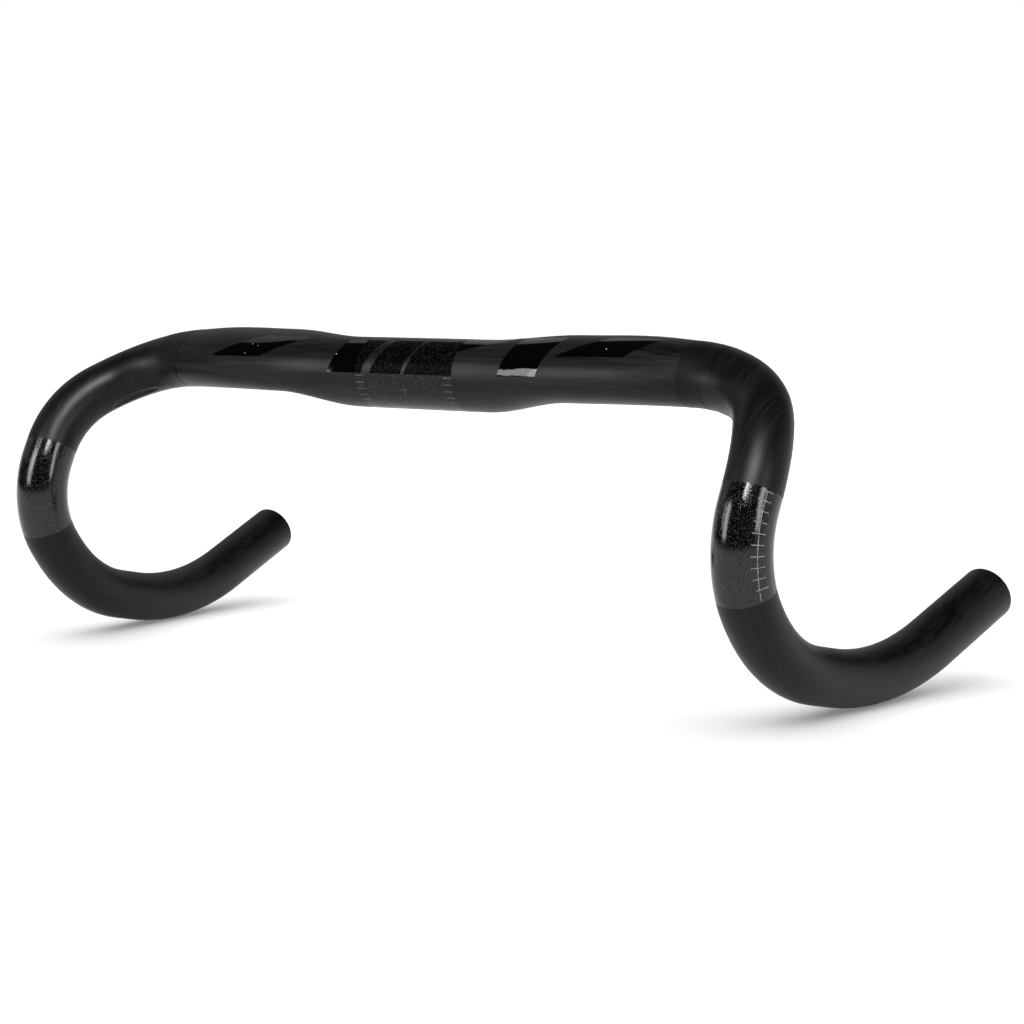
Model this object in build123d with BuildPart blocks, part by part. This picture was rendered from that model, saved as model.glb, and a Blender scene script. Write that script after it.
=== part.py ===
from build123d import *
import os
from math import cos, degrees, radians, sin

os.makedirs("parts", exist_ok=True)

# Drop handlebar, standing on its two hooks.  Millimetres and degrees.
# The origin is the centre of the stem clamp.  X runs along the bar, the front of the
# bar faces -Y and +Z is up.  The right half is modelled and mirrored to the left.

# Tubes
clamp_radius = 15.9  # 31.8 mm stem seat
clamp_half_length = 36.0
tube_wall = 1.8
top_half_width = 19.2  # flattened tops, front to back
top_half_height = 13.6
top_tilt = 20.0  # the flattened section leans forward
top_lift = 3.8  # the tops sit above the clamp axis
drop_radius = 12.1  # 24.2 mm, for the lever clamps

# Stations along the centreline, measured from the centre of the bar
flat_start = 36.0
flat_full = 80.0
round_start = 108.0
round_full = 193.0
seam_station = 147.0

# Centreline of the right half: clamp, sweep, corner, ramp, hook and drop end
spine_points = [
    (0, 0, 0),
    (45, 0, 0),
    (170.5, 3, 1.5),
    (194.5, -35, -20.5),
    (194, -57.5, -65.5),
    (195, -25.5, -110),
    (202.5, 51, -126),
    (211.5, 132, -96),
]
bend_radii = [80, 47.5, 50, 41, 70, 137]

# Bonded joint between the top section and each drop
wrap_start = 140.0
wrap_end = 155.0
wrap_rise = 0.1
wrap_recess = 0.25
sleeve_reach = 13.0  # on each side of the seam
sleeve_wall = 1.2
glue_gap = 0.15
glue_key = 0.1  # the glue keys into the abraded bores

# Inner plies that stiffen the clamped places
clamp_ply_half_length = 34.0
clamp_ply_thickness = 1.0
lever_ply_overhang = 4.0
lever_ply_thickness = 0.8

# Grip coats, let into the tube so that they stand only a little proud
coat_rise = 0.05
coat_recess = 0.25
stem_coat_half_length = 27.0
lever_coat_start = 233.0
lever_coat_end = 273.0

# Gloss panels and printed marks
gloss_rise = 0.03
gloss_recess = 0.15
ink_rise = 0.02
ink_recess = 0.08
ink_line = 0.35
tick_length = 4.5
tick_pitch = 11.0  # around the clamp
tick_count = 5
mark_angle = -24.0  # below the front of the bar
cross_arm = 2.6
scale_angle = 30.0  # from the outer side towards the front
scale_half_span = 14.0
scale_rungs = 11

# Shallow cable groove under the corner
groove_start = 157.0
groove_end = 198.0
groove_ramp = 10.0
groove_depth = 1.1
groove_cutter_radius = 8.0
groove_clearance = 0.05
groove_angle = 220.0

with BuildLine() as spine_line:
    FilletPolyline(*spine_points, radius=bend_radii)
spine = spine_line.wire()
corner_edges = spine.edges()[:4]
corner_end = sum(edge.length for edge in corner_edges)


def ease(share):
    share = min(max(share, 0.0), 1.0)
    return share * share * (3 - 2 * share)


def flat_share(station):
    """0 where the tube is round, 1 where the tops are fully flattened."""
    rise = ease((station - flat_start) / (flat_full - flat_start))
    fall = ease((station - round_start) / (round_full - round_start))
    return rise * (1 - fall)


def half_sizes(station):
    """Front-to-back and crown-to-base half sizes of the tube at a station."""
    to_flat = ease((station - flat_start) / (flat_full - flat_start))
    to_round = ease((station - round_start) / (round_full - round_start))
    width = clamp_radius + (top_half_width - clamp_radius) * to_flat
    height = clamp_radius + (top_half_height - clamp_radius) * to_flat
    width += (drop_radius - width) * to_round
    height += (drop_radius - height) * to_round
    return width, height


def section_plane(station):
    """Plane across the tube: local y is its crown, local x its back or outer side."""
    share = station / spine.length
    centre = spine.position_at(share) + Vector(0, 0, top_lift * flat_share(station))
    along = spine.tangent_at(share)
    crown = Vector(0, -sin(radians(top_tilt)), cos(radians(top_tilt)))
    return Plane(origin=centre, x_dir=crown.cross(along), z_dir=along)


def tube_outline(station, growth):
    width, height = half_sizes(station)
    with BuildSketch(section_plane(station)) as outline:
        Ellipse(width + growth, height + growth)
    return outline.sketch


def loft_through(stations, growth, mode=Mode.ADD):
    """Loft the tube's outline, grown or shrunk, through the stations."""
    loft([tube_outline(station, growth) for station in stations], mode=mode)


def steps(start, end, count):
    return [start + (end - start) * index / count for index in range(count + 1)]


def hook_wire(start, end):
    return spine.trim(start / spine.length, end / spine.length)


def sweep_ring(start, end, outer_radius, inner_radius):
    """Sweep a round ring along the hook between two stations."""
    with BuildSketch(section_plane(start)) as ring:
        Circle(outer_radius)
        Circle(inner_radius, mode=Mode.SUBTRACT)
    sweep(ring.sketch, path=hook_wire(start, end))


def ring_patch(plane, inner_radius, outer_radius, start_angle, span):
    """A face between two arcs, for marks printed on a round tube."""
    with BuildSketch(plane) as patch:
        with BuildLine():
            inner = CenterArc((0, 0), inner_radius, start_angle, span)
            outer = CenterArc((0, 0), outer_radius, start_angle, span)
            Line(inner @ 0, outer @ 0)
            Line(inner @ 1, outer @ 1)
        make_face()
    return patch.sketch


def ink_patch(plane, base_radius, start_angle, span):
    return ring_patch(plane, base_radius - ink_recess, base_radius + ink_rise, start_angle, span)


def both_sides(piece):
    return [piece, mirror(piece, about=Plane.YZ)]


def let_in(host, inlays):
    """Cut the inlays out of the piece that carries them."""
    with BuildPart() as carrier:
        add(host)
        for inlay in inlays:
            add(inlay, mode=Mode.SUBTRACT)
    return carrier.part


pieces = {}

seam_start = seam_station - sleeve_reach
seam_finish = seam_station + sleeve_reach
before_seam = steps(seam_start, seam_station, 3)
after_seam = steps(seam_station, seam_finish, 3)
top_stations = [clamp_half_length, 38, 44, 50, 57, 64, 72, flat_full, 94, 108, 120] + before_seam
corner_stations = after_seam + steps(seam_finish, corner_end, 6)[1:]

# ---------------------------------------------------------------- bare tubes
with BuildPart() as top_half:
    loft_through(top_stations, 0)
    loft_through(top_stations, -tube_wall, Mode.SUBTRACT)

with BuildPart() as top_tube:
    with BuildSketch(Plane.YZ):
        Circle(clamp_radius)
        Circle(clamp_radius - tube_wall, mode=Mode.SUBTRACT)
    extrude(amount=clamp_half_length, both=True)
    add(top_half.part)
    mirror(top_half.part, about=Plane.YZ)

with BuildPart() as groove_cutter:
    for station in steps(groove_start, groove_end, 8):
        from_end = min(station - groove_start, groove_end - station)
        depth = groove_depth * ease(from_end / groove_ramp)
        reach = half_sizes(station)[0] + groove_cutter_radius - depth + groove_clearance
        across = reach * cos(radians(groove_angle))
        below = reach * sin(radians(groove_angle))
        with BuildSketch(section_plane(station)):
            with Locations((across, below)):
                Circle(groove_cutter_radius)
    loft()

with BuildPart() as drop_tube:
    loft_through(corner_stations, 0)
    loft_through(corner_stations, -tube_wall, Mode.SUBTRACT)
    sweep_ring(corner_end, spine.length, drop_radius, drop_radius - tube_wall)
    add(groove_cutter.part, mode=Mode.SUBTRACT)

# ---------------------------------------------------------------- inner stiffening plies
clamp_bore = clamp_radius - tube_wall
with BuildPart() as clamp_reinforcement:
    with BuildSketch(Plane.YZ):
        Circle(clamp_bore)
        Circle(clamp_bore - clamp_ply_thickness, mode=Mode.SUBTRACT)
    extrude(amount=clamp_ply_half_length, both=True)
pieces["clamp_reinforcement"] = clamp_reinforcement.part

drop_bore = drop_radius - tube_wall
with BuildPart() as right_lever_reinforcement:
    ply_start = lever_coat_start - lever_ply_overhang
    ply_end = lever_coat_end + lever_ply_overhang
    sweep_ring(ply_start, ply_end, drop_bore, drop_bore - lever_ply_thickness)
pieces["right_lever_reinforcement"] = right_lever_reinforcement.part

# ---------------------------------------------------------------- bonded joint
joint_stations = before_seam + after_seam[1:]
with BuildPart() as right_joint_sleeve:
    loft_through(joint_stations, -tube_wall - glue_gap)
    loft_through(joint_stations, -tube_wall - glue_gap - sleeve_wall, Mode.SUBTRACT)
pieces["right_joint_sleeve"] = right_joint_sleeve.part

with BuildPart() as right_joint_adhesive:
    loft_through(joint_stations, glue_key - tube_wall)
    loft_through(joint_stations, -tube_wall - glue_gap, Mode.SUBTRACT)
pieces["right_joint_adhesive"] = right_joint_adhesive.part

wrap_stations = steps(wrap_start, wrap_end, 4)
with BuildPart() as right_joint_wrap:
    loft_through(wrap_stations, wrap_rise)
    loft_through(wrap_stations, -wrap_recess, Mode.SUBTRACT)
pieces["right_joint_wrap"] = right_joint_wrap.part

# ---------------------------------------------------------------- printed marks
lever_coat_radius = drop_radius + coat_rise
line_span = degrees(ink_line / lever_coat_radius)
rung_stations = steps(lever_coat_start + 1, lever_coat_end - 1, scale_rungs - 1)
with BuildPart() as right_lever_scale:
    line_plane = section_plane(rung_stations[0])
    line_profile = ink_patch(line_plane, lever_coat_radius, scale_angle - line_span / 2, line_span)
    sweep(line_profile, path=hook_wire(rung_stations[0], rung_stations[-1]))
    for station in rung_stations:
        rung_from = scale_angle - scale_half_span
        rung = ink_patch(section_plane(station), lever_coat_radius, rung_from, 2 * scale_half_span)
        extrude(rung, amount=ink_line / 2, both=True)
pieces["right_lever_scale"] = right_lever_scale.part

# On the YZ plane local x is +Y, so the front of the bar is at 180 degrees.
stem_coat_radius = clamp_radius + coat_rise
line_span = degrees(ink_line / stem_coat_radius)
tick_plane = Plane.YZ.offset(stem_coat_half_length - tick_length)
with BuildPart() as right_stem_ticks:
    for index in range(tick_count):
        below_front = mark_angle + tick_pitch * (index - (tick_count - 1) / 2)
        tick = ink_patch(tick_plane, stem_coat_radius, 180 - below_front, line_span)
        extrude(tick, amount=tick_length)
pieces["right_stem_ticks"] = right_stem_ticks.part

cross_centre = 180 - mark_angle
cross_span = degrees(cross_arm / stem_coat_radius)
with BuildPart() as stem_centre_cross:
    level_arm = ink_patch(Plane.YZ, stem_coat_radius, cross_centre - line_span / 2, line_span)
    extrude(level_arm, amount=cross_arm, both=True)
    round_arm = ink_patch(Plane.YZ, stem_coat_radius, cross_centre - cross_span, 2 * cross_span)
    extrude(round_arm, amount=ink_line / 2, both=True)
pieces["stem_centre_cross"] = stem_centre_cross.part

# ---------------------------------------------------------------- gloss panels
# Each panel is cut out of a thin skin by an outline seen from 45 degrees above the front.
view_tilt = radians(45)
view_distance = 60.0
view_plane = Plane(
    origin=(0, -view_distance * sin(view_tilt), view_distance * cos(view_tilt)),
    x_dir=(1, 0, 0),
    z_dir=(0, -sin(view_tilt), cos(view_tilt)),
)

with BuildPart() as top_skin:
    with BuildSketch(Plane.YZ.offset(stem_coat_half_length)):
        Circle(clamp_radius + gloss_rise)
        Circle(clamp_radius - gloss_recess, mode=Mode.SUBTRACT)
    extrude(amount=clamp_half_length - stem_coat_half_length)
    loft_through(top_stations[:-3], gloss_rise)
    loft_through(top_stations[:-3], -gloss_recess, Mode.SUBTRACT)
right_skin, left_skin = both_sides(top_skin.part)

with BuildPart() as coat_skin:
    with BuildSketch(Plane.YZ):
        Circle(stem_coat_radius + gloss_rise)
        Circle(stem_coat_radius - gloss_recess, mode=Mode.SUBTRACT)
    extrude(amount=stem_coat_half_length, both=True)
stem_skin = coat_skin.part

panels = {
    "gloss_panel_right_short": (right_skin, [(52, -11), (73, -11.5), (80, 11), (58, 11)]),
    "gloss_panel_right_long": (right_skin, [(80, -3), (114, -2), (128, 12), (102, 12)]),
    "gloss_panel_right_wedge": (right_skin, [(26, -1), (40, 4), (54, 9), (26, 9)]),
    "gloss_panel_left_short": (left_skin, [(-43.5, -11), (-26, -11), (-26, 6), (-36.5, 6)]),
    "gloss_panel_left_long": (left_skin, [(-116, -7), (-84, -7), (-60, 6), (-88, 6)]),
    "gloss_panel_stem_edge": (stem_skin, [(-28, -11), (-24, -11), (-16, 6), (-28, 6)]),
    "gloss_panel_stem_left": (stem_skin, [(-19, -11), (-1.5, -11), (6, 6), (-10.5, 6)]),
    "gloss_panel_stem_right": (stem_skin, [(0.5, -11), (28, -11), (28, 6), (8, 6)]),
}
for name, (skin, outline) in panels.items():
    with BuildPart() as panel:
        add(skin)
        with BuildSketch(view_plane):
            Polygon(*outline, align=None)
        extrude(amount=-view_distance, mode=Mode.INTERSECT)
    pieces[name] = panel.part
stem_panels = [pieces[name] for name, (skin, _) in panels.items() if skin is stem_skin]
top_panels = [pieces[name] for name, (skin, _) in panels.items() if skin is not stem_skin]

# ---------------------------------------------------------------- grip coats
with BuildPart() as stem_coat:
    with BuildSketch(Plane.YZ):
        Circle(stem_coat_radius)
        Circle(clamp_radius - coat_recess, mode=Mode.SUBTRACT)
    extrude(amount=stem_coat_half_length, both=True)
stem_marks = both_sides(pieces["right_stem_ticks"]) + [pieces["stem_centre_cross"]]
pieces["stem_grip_coating"] = let_in(stem_coat.part, stem_panels + stem_marks)

with BuildPart() as lever_coat:
    sweep_ring(lever_coat_start, lever_coat_end, lever_coat_radius, drop_radius - coat_recess)
pieces["right_lever_grip_coating"] = let_in(lever_coat.part, [pieces["right_lever_scale"]])

# ---------------------------------------------------------------- finished tubes
joint_inlays = [pieces["right_joint_wrap"], pieces["right_joint_adhesive"]]
top_inlays = both_sides(joint_inlays[0]) + both_sides(joint_inlays[1]) + top_panels
pieces["top_section"] = let_in(top_tube.part, top_inlays + [stem_coat.part])
pieces["right_drop"] = let_in(drop_tube.part, joint_inlays + [lever_coat.part])

# ---------------------------------------------------------------- left half and export
for name in [name for name in pieces if name.startswith("right_")]:
    pieces[name.replace("right_", "left_")] = mirror(pieces[name], about=Plane.YZ)

for name, piece in pieces.items():
    piece.label = name
    export_step(piece, f"parts/{name}.step")
    print(f"{name:30s} {len(piece.solids())} solids {piece.volume:10.1f} mm3")
print(f"centreline {spine.length:.1f} mm each side, corner ends at {corner_end:.1f}")
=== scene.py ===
# %% [markdown]
# # A carbon drop handlebar
# A drop bar is a tube of carbon laminate. Its middle is round where the stem grips it, its tops are
# flattened for the palms, and each end bends round into a hook. The frame holds all of its pieces
# at their real size: tubes, joint wraps, grip coats, gloss panels and printed marks. This lesson
# gives each of them its finish, and sets up the small studio that a black object needs.

# %% Load the frame
import math

import bpy
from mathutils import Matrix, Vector


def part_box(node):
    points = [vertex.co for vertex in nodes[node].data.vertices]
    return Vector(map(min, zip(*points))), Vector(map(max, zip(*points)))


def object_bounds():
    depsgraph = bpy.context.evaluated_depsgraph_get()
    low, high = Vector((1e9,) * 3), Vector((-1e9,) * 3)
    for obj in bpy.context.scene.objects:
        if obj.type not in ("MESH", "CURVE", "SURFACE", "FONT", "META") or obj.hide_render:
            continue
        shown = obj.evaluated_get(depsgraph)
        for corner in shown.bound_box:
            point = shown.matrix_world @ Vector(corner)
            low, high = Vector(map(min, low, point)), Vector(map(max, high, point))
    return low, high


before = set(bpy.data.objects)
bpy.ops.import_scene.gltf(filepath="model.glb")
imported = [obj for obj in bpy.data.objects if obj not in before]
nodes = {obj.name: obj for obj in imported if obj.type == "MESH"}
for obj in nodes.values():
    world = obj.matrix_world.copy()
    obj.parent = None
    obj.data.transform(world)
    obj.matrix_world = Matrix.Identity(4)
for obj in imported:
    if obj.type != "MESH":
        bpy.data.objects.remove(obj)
cad_low, cad_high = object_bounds()
print(f"{len(nodes)} pieces in a bar {1000 * (cad_high[0] - cad_low[0]):.0f} mm wide")

# %% [markdown]
# ## Camera
# A close camera would make the near hook look much larger than the far one. A long lens from about
# a metre keeps their sizes alike. It stands in front of the bar, towards one end, a little above.

# %% Place the camera
camera_azimuth = math.radians(36.23)
camera_elevation = math.radians(6.09)
camera_distance = 1.0354
look_at = Vector((0.0352, 0.0177, -0.0612))


def toward(azimuth, elevation):
    """Unit vector from the bar to a place around it. Azimuth 0 is straight in front of it."""
    level = math.cos(elevation)
    return Vector((math.sin(azimuth) * level, -math.cos(azimuth) * level, math.sin(elevation)))


def aim(thing, target):
    thing.rotation_euler = (target - thing.location).to_track_quat("-Z", "Y").to_euler()


def add_object(name, data):
    thing = bpy.data.objects.new(name, data)
    bpy.context.scene.collection.objects.link(thing)
    return thing


camera_data = bpy.data.cameras.new("studio_camera")
camera_data.lens = 81.7
camera_data.sensor_width = 36
camera_data.clip_start = 0.01
camera = add_object("studio_camera", camera_data)
camera.location = look_at + toward(camera_azimuth, camera_elevation) * camera_distance
aim(camera, look_at)
bpy.context.scene.camera = camera
print(f"camera {camera_distance:.2f} m away with a {camera_data.lens:.0f} mm lens")

# %% [markdown]
# ## Short ways to build nodes
# A finish is a tree of shader nodes, and an effect that several finishes share is a node group with
# named inputs and outputs. A few helpers keep the trees short: `put` adds a node and fills its
# sockets, `math_node` does one sum, `ramp` eases between two values, `open_group` starts a group
# and `place_group` puts it into a finish.

# %% Helpers for node trees


def fill(tree, node, links):
    """Link each input to a socket, or set it to a plain value."""
    for key, value in links.items():
        if isinstance(value, bpy.types.NodeSocket):
            tree.links.new(value, node.inputs[key])
        else:
            node.inputs[key].default_value = value
    return node


def put(tree, kind, links=None, **settings):
    """Add a node with its settings and its inputs."""
    node = tree.nodes.new(kind)
    for key, value in settings.items():
        setattr(node, key, value)
    return fill(tree, node, links or {})


def math_node(tree, operation, first, second=0.0):
    return put(tree, "ShaderNodeMath", {0: first, 1: second}, operation=operation).outputs[0]


def ramp(tree, value, low, high, at_low=0.0, at_high=1.0):
    """Ease from one value to another while the input goes from low to high."""
    links = {0: value, 1: low, 2: high, 3: at_low, 4: at_high}
    return put(tree, "ShaderNodeMapRange", links, interpolation_type="SMOOTHSTEP").outputs[0]


def open_group(name, inputs, outputs):
    """Start a group. An input is (name, kind, default) and an output is (name, kind)."""
    group = bpy.data.node_groups.new(name, "ShaderNodeTree")
    for label, kind, default in inputs:
        socket = group.interface.new_socket(label, in_out="INPUT", socket_type=kind)
        if default is not None:
            socket.default_value = default
    for label, kind in outputs:
        group.interface.new_socket(label, in_out="OUTPUT", socket_type=kind)
    taken = group.nodes.new("NodeGroupInput").outputs
    given = group.nodes.new("NodeGroupOutput").inputs
    return group, taken, given


def place_group(tree, group, **links):
    """Use a group in a finish. An underscore stands for the space in a socket's name."""
    node = tree.nodes.new("ShaderNodeGroup")
    node.node_tree = group
    return fill(tree, node, {key.replace("_", " "): value for key, value in links.items()}).outputs


helpers = (fill, put, math_node, ramp, open_group, place_group)
print("helpers:", ", ".join(helper.__name__ for helper in helpers))

# %% [markdown]
# ## Which way the fibres run
# Unidirectional carbon lies along the tube, so the faint streaks under the coat follow the tube.
# Along the tops that is the X axis. Round a hook it is a circle, so the angle about the hook's
# middle, times its radius, stands for the length along the tube. The distance from the middle
# counts only in part, because the ramp and the drop end leave the circle.

# %% Group: lengthwise coordinates round a hook
vector, number = "NodeSocketVector", "NodeSocketFloat"
round_hook, taken, given = open_group(
    "round_hook",
    [("Middle", vector, None), ("Radius", number, 0.06)],
    [("Vector", vector)],
)
place = put(round_hook, "ShaderNodeTexCoord").outputs["Object"]
arm = put(round_hook, "ShaderNodeVectorMath", {0: place, 1: taken["Middle"]}, operation="SUBTRACT")
split = put(round_hook, "ShaderNodeSeparateXYZ", {0: arm.outputs[0]}).outputs
angle = math_node(round_hook, "ARCTAN2", split["Z"], split["Y"])
run = math_node(round_hook, "MULTIPLY", angle, taken["Radius"])
reach_square = math_node(
    round_hook,
    "ADD",
    math_node(round_hook, "MULTIPLY", split["Y"], split["Y"]),
    math_node(round_hook, "MULTIPLY", split["Z"], split["Z"]),
)
reach = math_node(round_hook, "SQRT", reach_square)
reach_share = 0.25
eased = math_node(round_hook, "MULTIPLY", reach, reach_share)
join = put(round_hook, "ShaderNodeCombineXYZ", {0: run, 1: split["X"], 2: eased})
round_hook.links.new(join.outputs[0], given["Vector"])
print("group:", round_hook.name)

# %% [markdown]
# Under a satin coat the fibres show as faint streaks, a few centimetres long and about a
# millimetre wide. Stretching a noise along the tube makes them: its scale is small along the tube
# and large across it. A second, broader noise gathers them into bands, as tows of fibre do.

# %% Group: fibre grain
fibre_grain, taken, given = open_group(
    "fibre_grain",
    [("Vector", vector, None), ("Streak Length", number, 0.04), ("Streak Width", number, 0.0007)],
    [("Tone", number), ("Height", number)],
)
along = math_node(fibre_grain, "DIVIDE", 1.0, taken["Streak Length"])
across = math_node(fibre_grain, "DIVIDE", 1.0, taken["Streak Width"])
stretch = put(fibre_grain, "ShaderNodeCombineXYZ", {0: along, 1: across, 2: across}).outputs[0]
stretched = put(
    fibre_grain, "ShaderNodeVectorMath", {0: taken["Vector"], 1: stretch}, operation="MULTIPLY"
).outputs[0]


def noise(tree, place, scale, detail=2.0, roughness=0.5):
    links = {"Vector": place, "Scale": scale, "Detail": detail, "Roughness": roughness}
    return put(tree, "ShaderNodeTexNoise", links).outputs[0]


streaks = noise(fibre_grain, stretched, scale=1.0, detail=3.0, roughness=0.6)
band_scale = 0.13
bands = noise(fibre_grain, stretched, band_scale)
banded = math_node(fibre_grain, "MULTIPLY", streaks, bands)
fibre_grain.links.new(ramp(fibre_grain, banded, low=0.14, high=0.38), given["Tone"])
fibre_grain.links.new(streaks, given["Height"])
print("group:", fibre_grain.name)

# %% [markdown]
# The grip coats are lacquer with grit in it, so that a clamp can't slip. Each grain is a small
# bump, and a few of them get a painted glint: a lighter base colour that stands in for the light
# they catch. A Voronoi texture gives one random value to each grain. Squaring that value leaves
# most grains dark and a few with the painted glint. The cloud is a broad noise, for a coat that is
# a little duller in some places.

# %% Group: grit
grit, taken, given = open_group(
    "grit",
    [("Grain Size", number, 0.0004), ("Dull Share", number, 0.5)],
    [("Height", number), ("Painted Glint", number), ("Cloud", number)],
)
place = put(grit, "ShaderNodeTexCoord").outputs["Object"]
density = math_node(grit, "DIVIDE", 1.0, taken["Grain Size"])
cells = put(grit, "ShaderNodeTexVoronoi", {"Vector": place, "Scale": density}).outputs
chance = put(grit, "ShaderNodeSeparateColor", {0: cells["Color"]}).outputs[0]
# The grains picked here get a painted glint: a lighter colour in place of the light they catch.
lit = ramp(grit, chance, low=taken["Dull Share"], high=1.0)
bright = math_node(grit, "POWER", lit, 2.0)
facet = math_node(grit, "MULTIPLY", math_node(grit, "SUBTRACT", 1.0, cells["Distance"]), bright)
grit.links.new(math_node(grit, "ADD", noise(grit, place, density), facet), given["Height"])
grit.links.new(bright, given["Painted Glint"])
cloud_scale = 140.0
grit.links.new(noise(grit, place, cloud_scale), given["Cloud"])
print("group:", grit.name)

# %% [markdown]
# Glossy black shows every speck of dust. Each speck is the middle of a Voronoi cell, and only a
# small share of the cells has one, picked by the cell's random value.

# %% Group: dust specks
dust, taken, given = open_group(
    "dust",
    [("Spacing", number, 0.002), ("Speck Size", number, 0.0003), ("Share", number, 0.1)],
    [("Mask", number)],
)
place = put(dust, "ShaderNodeTexCoord").outputs["Object"]
density = math_node(dust, "DIVIDE", 1.0, taken["Spacing"])
cells = put(dust, "ShaderNodeTexVoronoi", {"Vector": place, "Scale": density}).outputs
edge = math_node(dust, "DIVIDE", taken["Speck Size"], taken["Spacing"])
close = math_node(dust, "LESS_THAN", cells["Distance"], edge)
chance = put(dust, "ShaderNodeSeparateColor", {0: cells["Color"]}).outputs[0]
lucky = math_node(dust, "LESS_THAN", chance, taken["Share"])
dust.links.new(math_node(dust, "MULTIPLY", close, lucky), given["Mask"])
print("group:", dust.name)

# %% [markdown]
# The joint wrap and the inner plies are woven. Two waves across each other, one along each
# diagonal, make a weave on the bias: where their product is high, one thread lies on top.

# %% Group: weave
weave, taken, given = open_group(
    "weave",
    [("Vector", vector, None), ("Thread Width", number, 0.001)],
    [("Over", number), ("Height", number)],
)
pitch = math_node(weave, "DIVIDE", math.pi, taken["Thread Width"])
turned = put(weave, "ShaderNodeVectorMath", {0: taken["Vector"], "Scale": pitch}, operation="SCALE")
split = put(weave, "ShaderNodeSeparateXYZ", {0: turned.outputs[0]}).outputs
warp = math_node(weave, "SINE", math_node(weave, "ADD", split["X"], split["Y"]))
weft = math_node(weave, "SINE", math_node(weave, "SUBTRACT", split["X"], split["Y"]))
lift = math_node(weave, "MULTIPLY", warp, weft)
weave.links.new(ramp(weave, lift, low=-0.2, high=0.2), given["Over"])
weave.links.new(lift, given["Height"])
print("group:", weave.name)

# %% [markdown]
# ## Finishes
# Every finish on the outside is nearly black, so what the eye reads is the gloss: how sharply the
# surface mirrors the room. A finish starts with one colour, roughness and shine. Then masks from the
# groups above move its colour and its roughness, and their heights make its bumps.

# %% Start a finish


def grey(level, blue=1.04):
    """A grey with a touch of blue, as carbon has."""
    return (level, level, level * blue, 1.0)


def start_finish(name, base, roughness, specular):
    """A material with one colour, roughness and shine all over."""
    material = bpy.data.materials.new(name)
    material.use_nodes = True
    tree = material.node_tree
    shader = tree.nodes["Principled BSDF"]
    shader.inputs["Base Color"].default_value = grey(base, 1.0)
    shader.inputs["Roughness"].default_value = roughness
    shader.inputs["Specular IOR Level"].default_value = specular
    return material, tree, shader


def tint(tree, shader, mask, dark, light):
    """Base colour between two greys, by a mask."""
    mix = put(tree, "ShaderNodeMix", {0: mask, 6: grey(dark), 7: grey(light)}, data_type="RGBA")
    tree.links.new(mix.outputs[2], shader.inputs["Base Color"])


def emboss(tree, shader, height, depth, strength):
    """Small bumps, with their depth in metres."""
    links = {"Height": height, "Distance": depth, "Strength": strength}
    node = put(tree, "ShaderNodeBump", links)
    tree.links.new(node.outputs[0], shader.inputs["Normal"])


def vary_roughness(tree, shader, mask, at_low, at_high):
    """Roughness between two values, by a mask."""
    tree.links.new(ramp(tree, mask, 0.0, 1.0, at_low, at_high), shader.inputs["Roughness"])


def object_place(tree):
    """Where on the piece the surface is, in metres."""
    return put(tree, "ShaderNodeTexCoord").outputs["Object"]


print("carbon grey:", [round(level, 4) for level in grey(0.004)])

# %% [markdown]
# The tubes have a satin clear coat over the carbon. Handling leaves it a little smoother in some
# places, so a broad noise moves the roughness. The fibre streaks move it too, and they move the
# colour. On the hooks the streaks are fainter than on the tops, because the plies there are cut and
# overlap to get round the bend.

# %% Satin carbon for the tops and the hooks
hook_low, hook_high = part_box("right_drop")
hook_radius = 0.065
hook_middle = (0.0, hook_low.y + hook_radius, (hook_low.z + hook_high.z) / 2)
streak_share = 0.35
wear_start = 0.3


def satin_carbon(name, follow_hook, pale):
    material, tree, shader = start_finish(name, base=0.004, roughness=0.42, specular=0.2)
    place = object_place(tree)
    path = place
    if follow_hook:
        path = place_group(tree, round_hook, Middle=hook_middle, Radius=hook_radius)["Vector"]
    grain = place_group(tree, fibre_grain, Vector=path, Streak_Length=0.06, Streak_Width=0.0012)
    tint(tree, shader, grain["Tone"], dark=0.0, light=pale)
    handled = noise(tree, place, scale=22.0)
    streaked = math_node(tree, "MULTIPLY", grain["Tone"], streak_share)
    wear = math_node(tree, "SUBTRACT", math_node(tree, "ADD", handled, streaked), wear_start)
    vary_roughness(tree, shader, wear, at_low=0.37, at_high=0.48)
    emboss(tree, shader, grain["Height"], depth=0.00002, strength=0.5)
    return material


tops_satin = satin_carbon("satin_carbon_tops", follow_hook=False, pale=0.0095)
hook_satin = satin_carbon("satin_carbon_hooks", follow_hook=True, pale=0.005)
print(f"streaks follow a hook of {1000 * hook_radius:.0f} mm radius")

# %% [markdown]
# The stem's coat is matt grit. The lever coats have a gloss lacquer over the grit, so the soft
# boxes draw broken streaks on them. The bumps are kept shallow: deep ones would blur the streaks
# away, and what should break them up is the single bright grain, a glint painted into the base
# colour.

# %% Grit coats


def grit_finish(name, roughness, specular, grain_size, depth, painted_glint):
    """A black coat with bumps of a given depth, and a few grains with a painted glint, a lighter
    base colour as light as painted_glint says.
    """
    material, tree, shader = start_finish(name, 0.003, roughness, specular)
    grains = place_group(tree, grit, Grain_Size=grain_size)
    # Painted glint: the picked grains get a lighter base colour in place of the light they catch.
    tint(tree, shader, grains["Painted Glint"], dark=0.0008, light=painted_glint)
    emboss(tree, shader, grains["Height"], depth, strength=0.6)
    cloud = grains["Cloud"]
    vary_roughness(tree, shader, cloud, at_low=roughness * 0.8, at_high=roughness * 1.2)
    return material


stem_grit = grit_finish(
    "stem_grit", roughness=0.32, specular=0.2, grain_size=0.00045, depth=0.00006, painted_glint=0.026
)
lever_grit = grit_finish(
    "lever_grit", roughness=0.055, specular=0.4, grain_size=0.0003, depth=0.000025, painted_glint=0.04
)
print("grit coats:", stem_grit.name, lever_grit.name)
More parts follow.
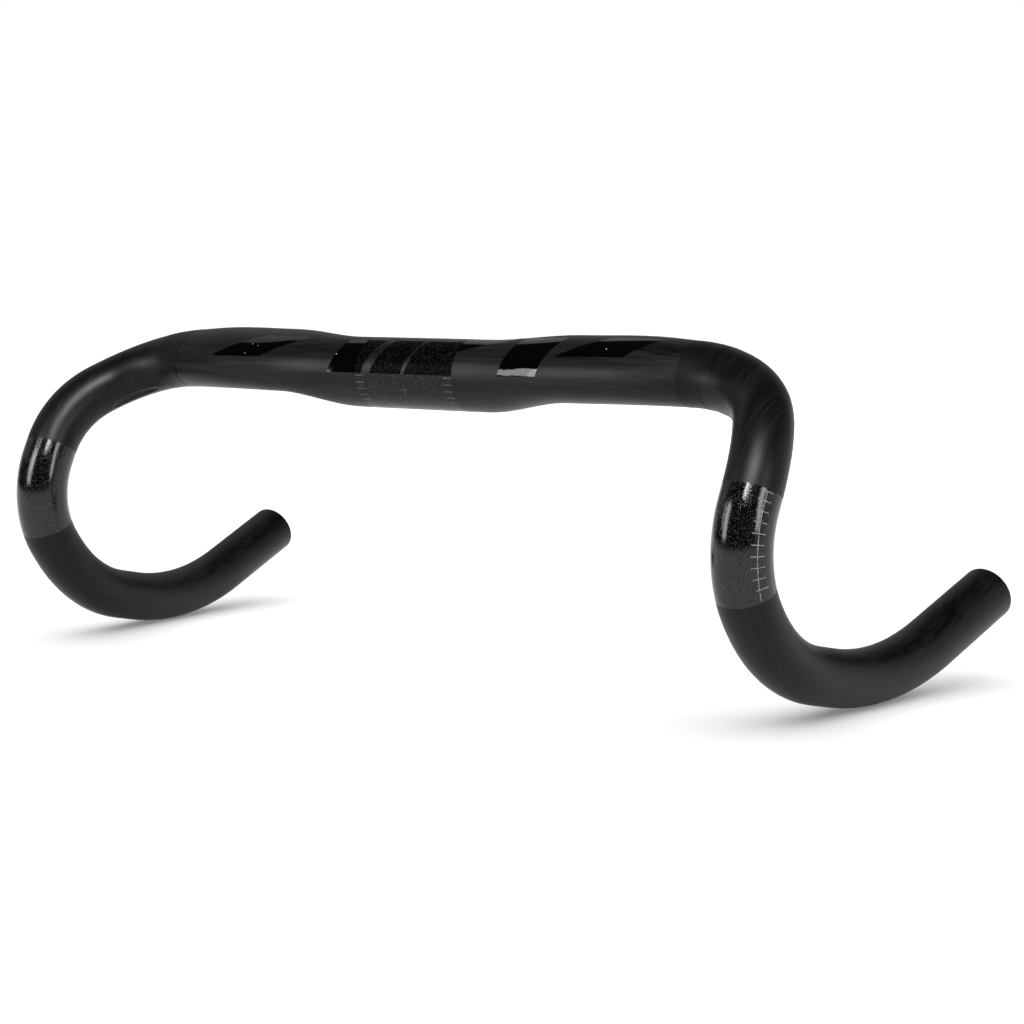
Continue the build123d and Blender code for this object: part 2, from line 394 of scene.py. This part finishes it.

# %% [markdown]
# The gloss panels are clear lacquer on bare black, with dust on it and faint smears. Over the stem
# coat the grit under the lacquer breaks up every reflection, so there the panels are a deep matt
# black with fine bright points: glints painted into the base colour of a few grains.

# %% Gloss panels
gloss, tree, shader = start_finish("gloss_lacquer", base=0.001, roughness=0.04, specular=0.42)
specks = place_group(tree, dust, Share=0.05)
tint(tree, shader, specks["Mask"], dark=0.001, light=0.5)
smears = noise(tree, object_place(tree), scale=30.0)
vary_roughness(tree, shader, smears, at_low=0.03, at_high=0.05)
gloss_on_grit = grit_finish(
    "gloss_on_grit", roughness=0.28, specular=0.01, grain_size=0.00048, depth=0.00003, painted_glint=0.016
)
print("panels:", gloss.name, gloss_on_grit.name)

# %% [markdown]
# The marks are thin grey ink, printed on top of the coats. It takes unevenly on grit and wears off
# with each clamping, so a noise thins it in places. The scale beside the lever zone is fresher
# than the ticks at the stem, and the cross at the middle is the faintest.

# %% Printed ink


def printed_ink(name, worn, fresh):
    """Ink between two greys: where it has worn thin, and where it is whole."""
    material, tree, shader = start_finish(name, fresh, roughness=0.45, specular=0.3)
    place = object_place(tree)
    cover = ramp(tree, noise(tree, place, scale=900.0, detail=3.0), low=0.35, high=0.6)
    tint(tree, shader, cover, dark=worn, light=fresh)
    vary_roughness(tree, shader, cover, at_low=0.5, at_high=0.4)
    return material


scale_ink = printed_ink("ink_lever_scale", worn=0.14, fresh=0.34)
tick_ink = printed_ink("ink_stem_ticks", worn=0.04, fresh=0.12)
cross_ink = printed_ink("ink_stem_cross", worn=0.02, fresh=0.065)
print("inks:", scale_ink.name, tick_ink.name, cross_ink.name)

# %% [markdown]
# Each joint is wrapped in a band of woven tape, laid on the bias so that it follows the corner. A
# place on the band is given by the length along the tube and the way round it, which comes from the
# angle about the tube. Under the clear coat the weave is only a faint change of tone.

# %% Joint wrap
wrap_low, wrap_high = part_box("right_joint_wrap")
wrap_middle = (wrap_low + wrap_high) / 2
wrap_radius = (wrap_high.y - wrap_low.y) / 2
wrap, tree, shader = start_finish("joint_wrap", base=0.002, roughness=0.42, specular=0.16)
place = object_place(tree)
arm = put(tree, "ShaderNodeVectorMath", {0: place, 1: wrap_middle}, operation="SUBTRACT").outputs[0]
split = put(tree, "ShaderNodeSeparateXYZ", {0: arm}).outputs
angle = math_node(tree, "ARCTAN2", split["Z"], split["Y"])
girth = math_node(tree, "MULTIPLY", angle, wrap_radius)
tape = put(tree, "ShaderNodeCombineXYZ", {0: split["X"], 1: girth}).outputs[0]
threads = place_group(tree, weave, Vector=tape, Thread_Width=0.0009)
tint(tree, shader, threads["Over"], dark=0.0005, light=0.004)
emboss(tree, shader, threads["Height"], depth=0.00001, strength=0.3)
vary_roughness(tree, shader, noise(tree, place, scale=60.0), at_low=0.36, at_high=0.5)
print(f"tape goes round a tube {2000 * wrap_radius:.0f} mm deep")

# %% [markdown]
# Inside the bar, the sleeves and the extra plies are bare laminate with its weave in plain view,
# and the glue line is a cloudy amber film. None of it shows unless the bar is cut open.

# %% Inner plies and glue
laminate, tree, shader = start_finish("raw_laminate", base=0.012, roughness=0.5, specular=0.4)
place = object_place(tree)
threads = place_group(tree, weave, Vector=place, Thread_Width=0.002)
tint(tree, shader, threads["Over"], dark=0.006, light=0.03)
emboss(tree, shader, threads["Height"], depth=0.00006, strength=0.6)
adhesive, tree, shader = start_finish("cured_adhesive", base=0.1, roughness=0.5, specular=0.4)
cloudy = noise(tree, object_place(tree), scale=250.0, detail=4.0)
dark_amber = (0.16, 0.1, 0.035, 1.0)
light_amber = (0.3, 0.2, 0.08, 1.0)
amber = put(tree, "ShaderNodeMix", {0: cloudy, 6: dark_amber, 7: light_amber}, data_type="RGBA")
tree.links.new(amber.outputs[2], shader.inputs["Base Color"])
vary_roughness(tree, shader, cloudy, at_low=0.4, at_high=0.6)
print("inside:", laminate.name, adhesive.name)

# %% [markdown]
# Each piece takes its finish by the words in its name. The order matters: a longer, more exact
# word comes before a shorter one, so the stem's panels are matched before the other panels.

# %% Give every piece its finish
finishes = {
    "ticks": tick_ink,
    "cross": cross_ink,
    "scale": scale_ink,
    "gloss_panel_stem": gloss_on_grit,
    "gloss_panel": gloss,
    "stem_grip": stem_grit,
    "lever_grip": lever_grit,
    "wrap": wrap,
    "adhesive": adhesive,
    "sleeve": laminate,
    "reinforcement": laminate,
    "drop": hook_satin,
    "top_section": tops_satin,
}
for name, node in nodes.items():
    finish = next(finish for word, finish in finishes.items() if word in name)
    for slot in node.material_slots:
        slot.material = finish
print(len(nodes), "pieces wear", len(set(finishes.values())), "finishes")

# %% [markdown]
# ## Studio
# A black bar shows what is around it. It stands on a white floor in a dark room, because a dark
# room keeps the black deep and a white floor lifts the lower half of each tube. The floor is one
# large disc, so its rim is far behind the bar.

# %% Floor
floor_radius = 6.0
bpy.ops.mesh.primitive_circle_add(vertices=96, radius=floor_radius, fill_type="NGON")
floor = bpy.context.object
floor.name = "studio_floor"
floor.location.z = cad_low[2]
floor_paint, *_ = start_finish("floor_paint", base=0.85, roughness=0.8, specular=0.2)
floor.data.materials.append(floor_paint)
print(f"floor {1000 * floor.location.z:.0f} mm from the clamp's centre")

# %% [markdown]
# The world is the room. The camera sees plain white. The bar sees a low pale wall behind it, a
# taller one at its right, and near darkness elsewhere. Light Path tells the two apart.

# %% Room
room = bpy.data.worlds.new("studio_room")
bpy.context.scene.world = room
room.use_nodes = True
tree = room.node_tree
tree.nodes.clear()
look = put(tree, "ShaderNodeTexCoord").outputs["Generated"]
height = put(tree, "ShaderNodeSeparateXYZ", {0: look}).outputs["Z"]


def glow(direction, edge, full, low, high, level):
    """Light round a direction. Edge and full are cosines, and it fades out from low to high."""
    facing = put(tree, "ShaderNodeVectorMath", {0: look, 1: direction}, operation="DOT_PRODUCT")
    across = ramp(tree, facing.outputs["Value"], edge, full)
    return math_node(tree, "MULTIPLY", across, ramp(tree, height, low, high, level, 0.0))


darkness = 0.012
behind = -toward(camera_azimuth, 0.0)
right_side = toward(math.radians(128), 0.0)
back_wall = glow(behind, edge=0.45, full=0.6, low=0.1, high=0.25, level=0.8)
side_wall = glow(right_side, edge=0.76, full=0.9, low=0.45, high=0.75, level=0.75)
walls = math_node(tree, "MAXIMUM", back_wall, side_wall)
tone = math_node(tree, "MAXIMUM", walls, darkness)
seen = put(tree, "ShaderNodeLightPath").outputs["Is Camera Ray"]
strength = put(tree, "ShaderNodeMix", {0: seen, 2: tone, 3: 1.0}).outputs[0]
white = (1.0, 1.0, 1.0, 1.0)
air = put(tree, "ShaderNodeBackground", {"Color": white, "Strength": strength})
put(tree, "ShaderNodeOutputWorld", {0: air.outputs[0]})
bpy.context.scene.view_settings.view_transform = "Standard"
print(f"room: {len(tree.nodes)} nodes, darkness {darkness}")

# %% [markdown]
# Soft boxes draw the bright streaks on the lever coats. Each is placed by where the bar sees it:
# its azimuth and the elevations of its lower and upper edge. So a streak can be moved by moving its
# box. The boxes are hidden from diffuse rays, so they shine on the gloss and leave the floor even.
# A small card near the bar puts the bright strip on one gloss panel.

# %% Soft boxes
bar_middle = Vector((0.0, 0.0, (cad_low[2] + cad_high[2]) / 2))


def add_lamp(name, width, height, radiance):
    """A flat lamp. Its power follows from its size and from how bright its face is."""
    data = bpy.data.lights.new(name, "AREA")
    data.shape = "RECTANGLE"
    data.size = width
    data.size_y = height
    data.energy = radiance * math.pi * width * height
    return add_object(name, data)


def soft_box(name, azimuth, distance, low, high, width, radiance):
    """A box that the bar sees between two elevations. Angles are in degrees."""
    elevation = math.radians((low + high) / 2)
    height = 2 * distance * math.tan(math.radians((high - low) / 2))
    lamp = add_lamp(name, width, height, radiance)
    lamp.location = bar_middle + toward(math.radians(azimuth), elevation) * distance
    lamp.visible_diffuse = False
    aim(lamp, bar_middle)
    print(f"{name}: {1000 * width:.0f} by {1000 * height:.0f} mm")


soft_box("box_left", azimuth=-29.5, distance=0.83, low=6, high=34, width=0.24, radiance=8.5)
soft_box("card_left", azimuth=-36.5, distance=0.43, low=14, high=35, width=0.045, radiance=6)
soft_box("box_front", azimuth=33.5, distance=1.1, low=39, high=57, width=0.4, radiance=38)
soft_box("box_right", azimuth=80, distance=2.2, low=6, high=35, width=0.46, radiance=9)

# %% [markdown]
# A wide sheet of light hangs over the back of the bar. Its straight front edge is what ends the
# black in the gloss panels in a sharp line, so it is set by where that edge passes.

# %% Overhead sheet
sheet_height = 0.5
sheet_edge = Vector((-0.44, 0.22, sheet_height))
sheet_turn = math.radians(59.3)
sheet_depth = 1.6
sheet = add_lamp("overhead_sheet", width=3.2, height=sheet_depth, radiance=0.4)
away = Vector((-math.sin(sheet_turn), math.cos(sheet_turn), 0.0))
sheet.location = sheet_edge + away * sheet_depth / 2
sheet.rotation_euler = (0.0, 0.0, sheet_turn)
print(f"sheet {sheet_height:.1f} m above the clamp")

# %% [markdown]
# The floor has to be white right up to the bar, with only a soft shadow where the hooks touch it.
# Two broad suns wash it from above. One casts shadows and the other doesn't, and their shares set
# how deep the shadow is. Neither shows in the gloss.

# %% Floor wash
wash_angle = math.radians(110)


def floor_wash(name, energy, casts_shadow):
    """A sun as broad as an overcast sky."""
    data = bpy.data.lights.new(name, "SUN")
    data.energy = energy
    data.angle = wash_angle
    data.use_shadow = casts_shadow
    lamp = add_object(name, data)
    lamp.visible_glossy = False
    print(f"{name}: {energy:.1f} W/m2")


floor_wash("wash_with_shadow", energy=0.8, casts_shadow=True)
floor_wash("wash_without_shadow", energy=3.5, casts_shadow=False)
